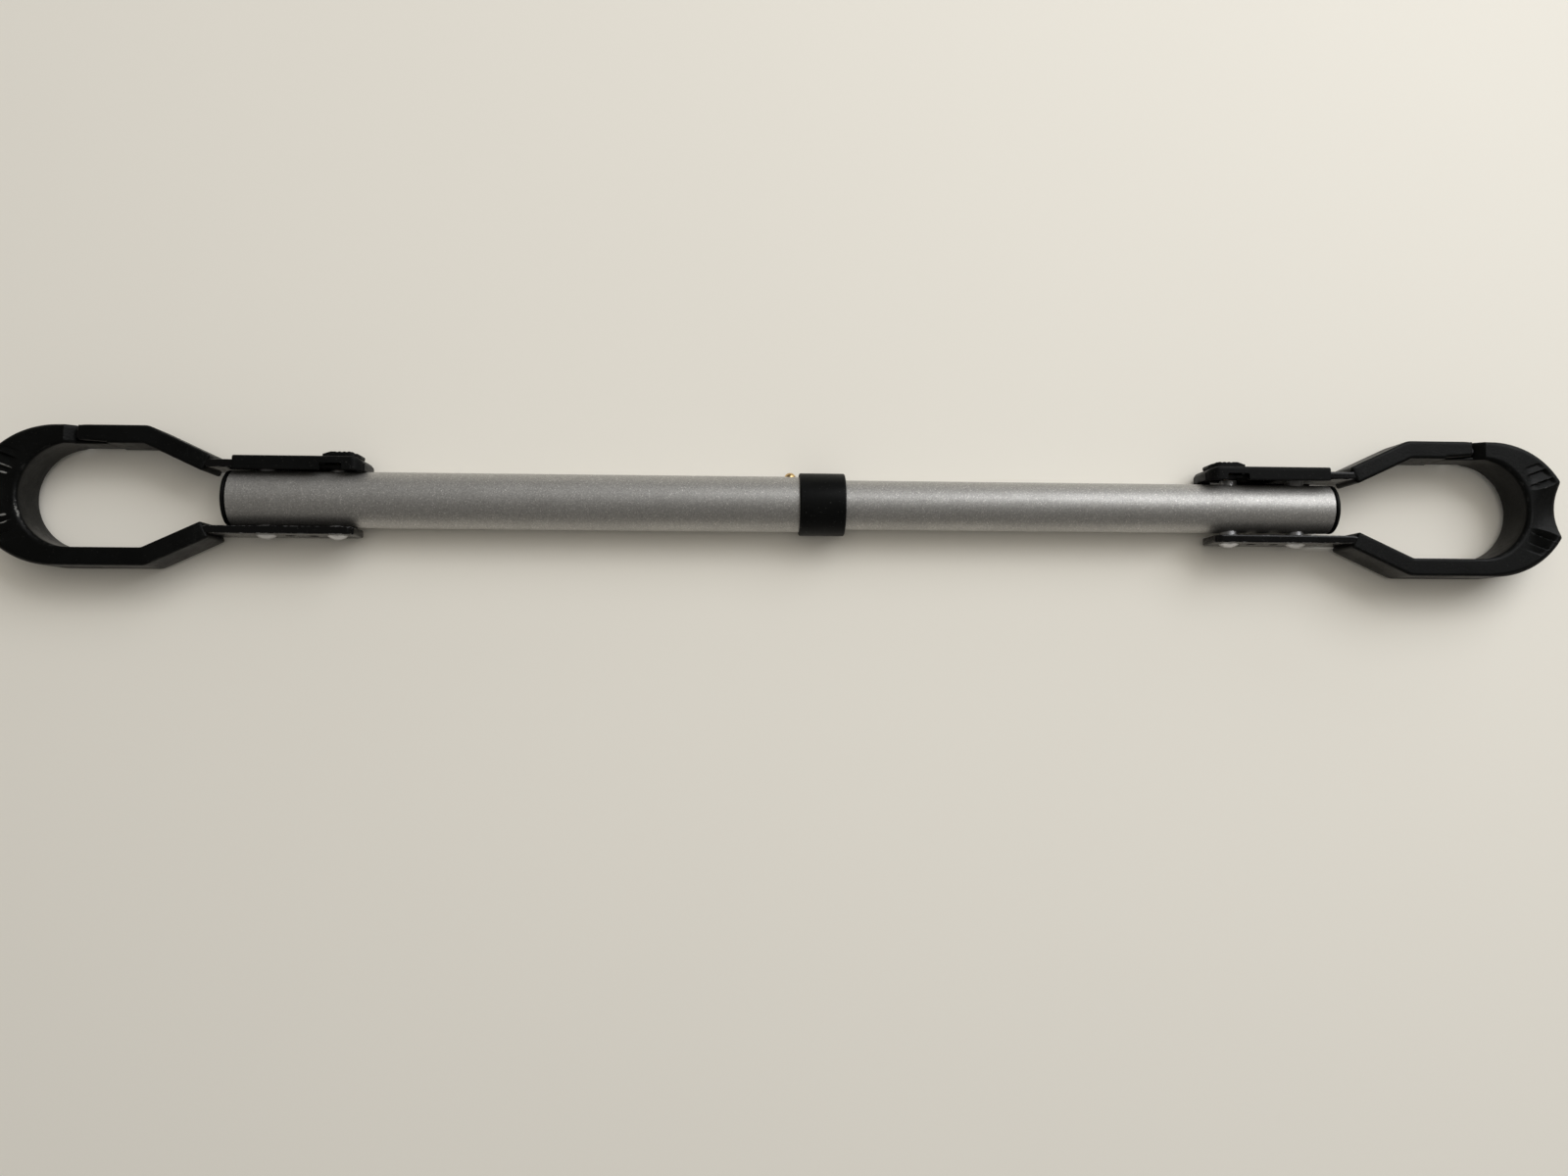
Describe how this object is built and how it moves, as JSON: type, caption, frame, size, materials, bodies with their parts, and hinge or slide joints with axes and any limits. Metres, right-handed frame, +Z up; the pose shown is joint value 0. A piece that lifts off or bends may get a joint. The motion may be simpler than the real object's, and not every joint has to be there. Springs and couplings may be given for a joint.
{
  "type": "telescoping frame adapter bar",
  "caption": "Two telescoping silver tubes with a snap button, ending in rubber-covered hooks whose hinged gates latch shut around a post.",
  "frame": {"origin": "on the tubes' axis at the snap button, the middle of the fully extended bar", "axes": "+X along the bar towards the thinner inner tube, +Y towards the gates and latches, +Z up through the loops"},
  "size_m": [0.8058, 0.0704, 0.0322],
  "materials": {
    "tube_paint": "satin silver paint with a fine metallic flake",
    "black_plastic": "fine matte grain",
    "black_paint": "gloss black paint",
    "rubber": "matte with light scuffs",
    "zinc": "bright zinc plate",
    "brass": "satin",
    "spring_steel": "drawn wire"
  },
  "bodies": {
    "outer_bar": {"outer_tube": "tube_paint", "collar": "black_plastic", "left_end_cap": "black_plastic", "left_hook_strap": "black_paint", "left_hook_rubber": "rubber", "left_rivet": "zinc", "left_latch_stud": "brass", "left_spacers": "zinc", "left_hinge_pin": "spring_steel"},
    "inner_bar": {"inner_tube": "tube_paint", "snap_spring": "spring_steel", "right_end_cap": "black_plastic", "right_hook_strap": "black_paint", "right_hook_rubber": "rubber", "right_rivet": "zinc", "right_latch_stud": "brass", "right_spacers": "zinc", "right_hinge_pin": "spring_steel"},
    "button": {"snap_button": "brass"},
    "left_gate": {"left_gate_strap": "black_paint", "left_gate_rubber": "rubber", "left_latch_housing": "black_plastic", "left_latch_spring": "spring_steel", "left_housing_screws": "black_paint"},
    "right_gate": {"right_gate_strap": "black_paint", "right_gate_rubber": "rubber", "right_latch_housing": "black_plastic", "right_latch_spring": "spring_steel", "right_housing_screws": "black_paint"},
    "left_latch": {"left_latch_slider": "black_plastic"},
    "right_latch": {"right_latch_slider": "black_plastic"}
  },
  "joints": [
    {"name": "extension", "type": "slide", "parent": "outer_bar", "child": "inner_bar", "axis": [1, 0, 0], "range_m": [-0.15, 0]},
    {"name": "button_press", "type": "slide", "parent": "inner_bar", "child": "button", "axis": [0, -1, 0], "range_m": [0, 0.0036], "stiffness_N_per_m": 800, "springref_m": -0.002, "deforming": ["snap_spring"]},
    {"name": "left_gate_hinge", "type": "hinge", "parent": "outer_bar", "child": "left_gate", "pos_m": [-0.3545, 0.0306, 0], "axis": [0, 0, 1], "range_deg": [0, 60]},
    {"name": "left_latch_slide", "type": "slide", "parent": "left_gate", "child": "left_latch", "axis": [-1, 0, 0], "range_m": [0, 0.0052], "stiffness_N_per_m": 300, "springref_m": -0.003, "deforming": ["left_latch_spring"]},
    {"name": "right_gate_hinge", "type": "hinge", "parent": "inner_bar", "child": "right_gate", "pos_m": [0.3545, 0.0306, 0], "axis": [0, 0, -1], "range_deg": [0, 60]},
    {"name": "right_latch_slide", "type": "slide", "parent": "right_gate", "child": "right_latch", "axis": [1, 0, 0], "range_m": [0, 0.0052], "stiffness_N_per_m": 300, "springref_m": -0.003, "deforming": ["right_latch_spring"]}
  ]
}
